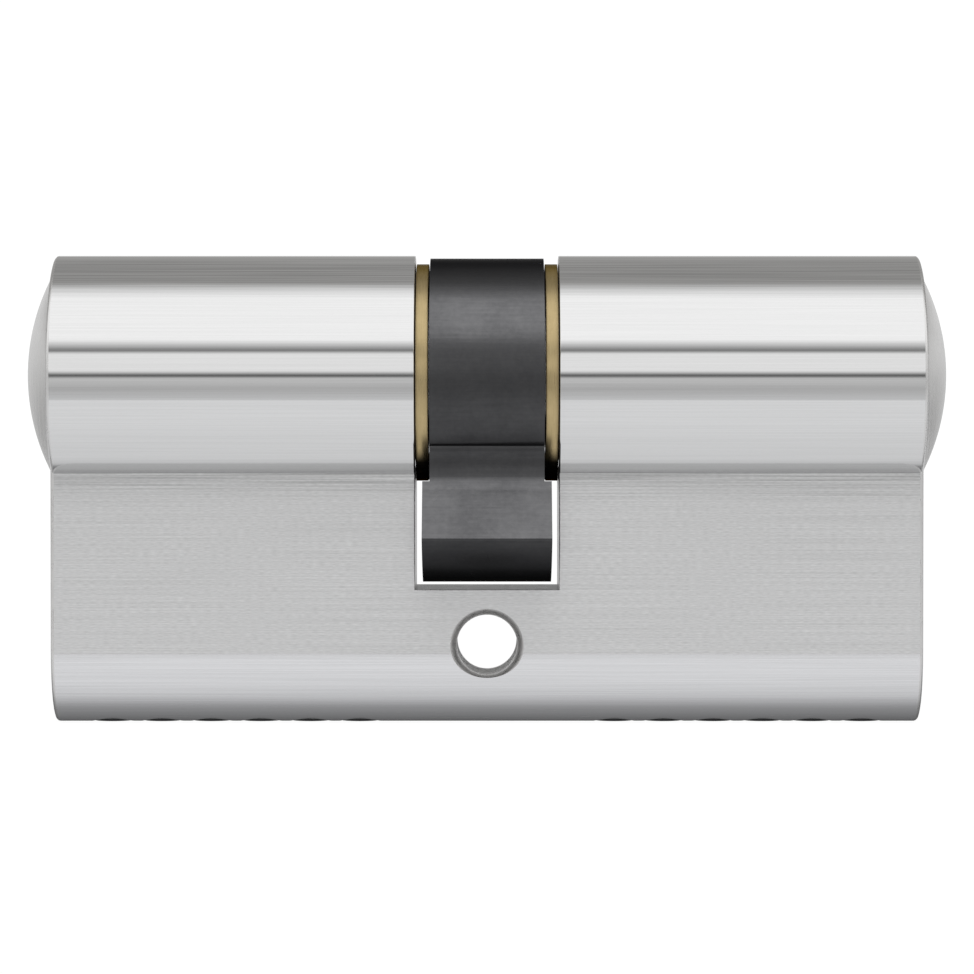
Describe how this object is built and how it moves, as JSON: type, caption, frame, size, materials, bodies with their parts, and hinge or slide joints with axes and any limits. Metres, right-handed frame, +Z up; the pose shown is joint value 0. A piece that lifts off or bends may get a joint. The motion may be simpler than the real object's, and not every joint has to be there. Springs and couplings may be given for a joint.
{
  "type": "euro profile lock cylinder",
  "caption": "Double lock cylinder: a barrel over a flat web, a keyed plug at each end and a cam in the middle slot that throws a door lock's bolt.",
  "frame": {"origin": "centre of the fixing screw hole, halfway through the web", "axes": "+X along the cylinder towards the inner side of the door, +Z up from the web to the barrel, the web's flat sides face -Y and +Y"},
  "size_m": [0.065, 0.018, 0.033],
  "materials": {
    "satin_nickel": "satin nickel plate, brushed along the length",
    "plug_nickel": "satin nickel plate, turned",
    "black_cam": "blackened sintered steel, smooth satin",
    "clip_brass": "yellow-passivated, satin",
    "clutch_steel": "plain sintered steel",
    "pin_brass": "turned, bright",
    "spring_steel": "drawn wire",
    "chamber_plug_dark": "dark, pressed in and dressed flush"
  },
  "bodies": {
    "housing": {"housing": "satin_nickel", "outer_spring_1": "spring_steel", "outer_chamber_plug_1": "chamber_plug_dark", "outer_spring_2": "spring_steel", "outer_chamber_plug_2": "chamber_plug_dark", "outer_spring_3": "spring_steel", "outer_chamber_plug_3": "chamber_plug_dark", "outer_spring_4": "spring_steel", "outer_chamber_plug_4": "chamber_plug_dark", "outer_spring_5": "spring_steel", "outer_chamber_plug_5": "chamber_plug_dark", "outer_spring_6": "spring_steel", "outer_chamber_plug_6": "chamber_plug_dark", "inner_spring_1": "spring_steel", "inner_chamber_plug_1": "chamber_plug_dark", "inner_spring_2": "spring_steel", "inner_chamber_plug_2": "chamber_plug_dark", "inner_spring_3": "spring_steel", "inner_chamber_plug_3": "chamber_plug_dark", "inner_spring_4": "spring_steel", "inner_chamber_plug_4": "chamber_plug_dark", "inner_spring_5": "spring_steel", "inner_chamber_plug_5": "chamber_plug_dark", "inner_spring_6": "spring_steel", "inner_chamber_plug_6": "chamber_plug_dark"},
    "outer_plug": {"outer_plug": "plug_nickel", "outer_clip": "clip_brass"},
    "inner_plug": {"inner_plug": "plug_nickel", "inner_clip": "clip_brass"},
    "cam": {"cam": "black_cam"},
    "clutch": {"outer_clutch": "clutch_steel", "inner_clutch": "clutch_steel"},
    "outer_key_pin_1": {"outer_key_pin_1": "pin_brass"},
    "outer_driver_1": {"outer_driver_1": "pin_brass"},
    "outer_key_pin_2": {"outer_key_pin_2": "pin_brass"},
    "outer_driver_2": {"outer_driver_2": "pin_brass"},
    "outer_key_pin_3": {"outer_key_pin_3": "pin_brass"},
    "outer_driver_3": {"outer_driver_3": "pin_brass"},
    "outer_key_pin_4": {"outer_key_pin_4": "pin_brass"},
    "outer_driver_4": {"outer_driver_4": "pin_brass"},
    "outer_key_pin_5": {"outer_key_pin_5": "pin_brass"},
    "outer_driver_5": {"outer_driver_5": "pin_brass"},
    "outer_key_pin_6": {"outer_key_pin_6": "pin_brass"},
    "outer_driver_6": {"outer_driver_6": "pin_brass"},
    "inner_key_pin_1": {"inner_key_pin_1": "pin_brass"},
    "inner_driver_1": {"inner_driver_1": "pin_brass"},
    "inner_key_pin_2": {"inner_key_pin_2": "pin_brass"},
    "inner_driver_2": {"inner_driver_2": "pin_brass"},
    "inner_key_pin_3": {"inner_key_pin_3": "pin_brass"},
    "inner_driver_3": {"inner_driver_3": "pin_brass"},
    "inner_key_pin_4": {"inner_key_pin_4": "pin_brass"},
    "inner_driver_4": {"inner_driver_4": "pin_brass"},
    "inner_key_pin_5": {"inner_key_pin_5": "pin_brass"},
    "inner_driver_5": {"inner_driver_5": "pin_brass"},
    "inner_key_pin_6": {"inner_key_pin_6": "pin_brass"},
    "inner_driver_6": {"inner_driver_6": "pin_brass"}
  },
  "joints": [
    {"name": "outer_plug_turn", "type": "hinge", "parent": "housing", "child": "outer_plug", "pos_m": [0, 0, 0.0189], "axis": [1, 0, 0], "continuous": true},
    {"name": "inner_plug_turn", "type": "hinge", "parent": "housing", "child": "inner_plug", "pos_m": [0, 0, 0.0189], "axis": [1, 0, 0], "continuous": true},
    {"name": "cam_turn", "type": "hinge", "parent": "housing", "child": "cam", "pos_m": [0, 0, 0.0189], "axis": [1, 0, 0], "continuous": true},
    {"name": "clutch_slide", "type": "slide", "parent": "cam", "child": "clutch", "axis": [1, 0, 0], "range_m": [0, 0.0013]},
    {"name": "outer_key_pin_1_lift", "type": "slide", "parent": "outer_plug", "child": "outer_key_pin_1", "axis": [0, 0, 1], "range_m": [0, 0.0012]},
    {"name": "outer_driver_1_press", "type": "slide", "parent": "housing", "child": "outer_driver_1", "axis": [0, 0, -1], "range_m": [0, 0.003], "stiffness_N_per_m": 150, "springref_m": -0.004, "deforming": ["outer_spring_1"]},
    {"name": "outer_key_pin_2_lift", "type": "slide", "parent": "outer_plug", "child": "outer_key_pin_2", "axis": [0, 0, 1], "range_m": [0, 0.0012]},
    {"name": "outer_driver_2_press", "type": "slide", "parent": "housing", "child": "outer_driver_2", "axis": [0, 0, -1], "range_m": [0, 0.003], "stiffness_N_per_m": 150, "springref_m": -0.004, "deforming": ["outer_spring_2"]},
    {"name": "outer_key_pin_3_lift", "type": "slide", "parent": "outer_plug", "child": "outer_key_pin_3", "axis": [0, 0, 1], "range_m": [0, 0.0012]},
    {"name": "outer_driver_3_press", "type": "slide", "parent": "housing", "child": "outer_driver_3", "axis": [0, 0, -1], "range_m": [0, 0.003], "stiffness_N_per_m": 150, "springref_m": -0.004, "deforming": ["outer_spring_3"]},
    {"name": "outer_key_pin_4_lift", "type": "slide", "parent": "outer_plug", "child": "outer_key_pin_4", "axis": [0, 0, 1], "range_m": [0, 0.0012]},
    {"name": "outer_driver_4_press", "type": "slide", "parent": "housing", "child": "outer_driver_4", "axis": [0, 0, -1], "range_m": [0, 0.003], "stiffness_N_per_m": 150, "springref_m": -0.004, "deforming": ["outer_spring_4"]},
    {"name": "outer_key_pin_5_lift", "type": "slide", "parent": "outer_plug", "child": "outer_key_pin_5", "axis": [0, 0, 1], "range_m": [0, 0.0012]},
    {"name": "outer_driver_5_press", "type": "slide", "parent": "housing", "child": "outer_driver_5", "axis": [0, 0, -1], "range_m": [0, 0.003], "stiffness_N_per_m": 150, "springref_m": -0.004, "deforming": ["outer_spring_5"]},
    {"name": "outer_key_pin_6_lift", "type": "slide", "parent": "outer_plug", "child": "outer_key_pin_6", "axis": [0, 0, 1], "range_m": [0, 0.0012]},
    {"name": "outer_driver_6_press", "type": "slide", "parent": "housing", "child": "outer_driver_6", "axis": [0, 0, -1], "range_m": [0, 0.003], "stiffness_N_per_m": 150, "springref_m": -0.004, "deforming": ["outer_spring_6"]},
    {"name": "inner_key_pin_1_lift", "type": "slide", "parent": "inner_plug", "child": "inner_key_pin_1", "axis": [0, 0, 1], "range_m": [0, 0.0012]},
    {"name": "inner_driver_1_press", "type": "slide", "parent": "housing", "child": "inner_driver_1", "axis": [0, 0, -1], "range_m": [0, 0.003], "stiffness_N_per_m": 150, "springref_m": -0.004, "deforming": ["inner_spring_1"]},
    {"name": "inner_key_pin_2_lift", "type": "slide", "parent": "inner_plug", "child": "inner_key_pin_2", "axis": [0, 0, 1], "range_m": [0, 0.0012]},
    {"name": "inner_driver_2_press", "type": "slide", "parent": "housing", "child": "inner_driver_2", "axis": [0, 0, -1], "range_m": [0, 0.003], "stiffness_N_per_m": 150, "springref_m": -0.004, "deforming": ["inner_spring_2"]},
    {"name": "inner_key_pin_3_lift", "type": "slide", "parent": "inner_plug", "child": "inner_key_pin_3", "axis": [0, 0, 1], "range_m": [0, 0.0012]},
    {"name": "inner_driver_3_press", "type": "slide", "parent": "housing", "child": "inner_driver_3", "axis": [0, 0, -1], "range_m": [0, 0.003], "stiffness_N_per_m": 150, "springref_m": -0.004, "deforming": ["inner_spring_3"]},
    {"name": "inner_key_pin_4_lift", "type": "slide", "parent": "inner_plug", "child": "inner_key_pin_4", "axis": [0, 0, 1], "range_m": [0, 0.0012]},
    {"name": "inner_driver_4_press", "type": "slide", "parent": "housing", "child": "inner_driver_4", "axis": [0, 0, -1], "range_m": [0, 0.003], "stiffness_N_per_m": 150, "springref_m": -0.004, "deforming": ["inner_spring_4"]},
    {"name": "inner_key_pin_5_lift", "type": "slide", "parent": "inner_plug", "child": "inner_key_pin_5", "axis": [0, 0, 1], "range_m": [0, 0.0012]},
    {"name": "inner_driver_5_press", "type": "slide", "parent": "housing", "child": "inner_driver_5", "axis": [0, 0, -1], "range_m": [0, 0.003], "stiffness_N_per_m": 150, "springref_m": -0.004, "deforming": ["inner_spring_5"]},
    {"name": "inner_key_pin_6_lift", "type": "slide", "parent": "inner_plug", "child": "inner_key_pin_6", "axis": [0, 0, 1], "range_m": [0, 0.0012]},
    {"name": "inner_driver_6_press", "type": "slide", "parent": "housing", "child": "inner_driver_6", "axis": [0, 0, -1], "range_m": [0, 0.003], "stiffness_N_per_m": 150, "springref_m": -0.004, "deforming": ["inner_spring_6"]}
  ],
  "couplings": [
    {"joint": "cam_turn", "follows": "outer_plug_turn", "ratio": 1}
  ]
}
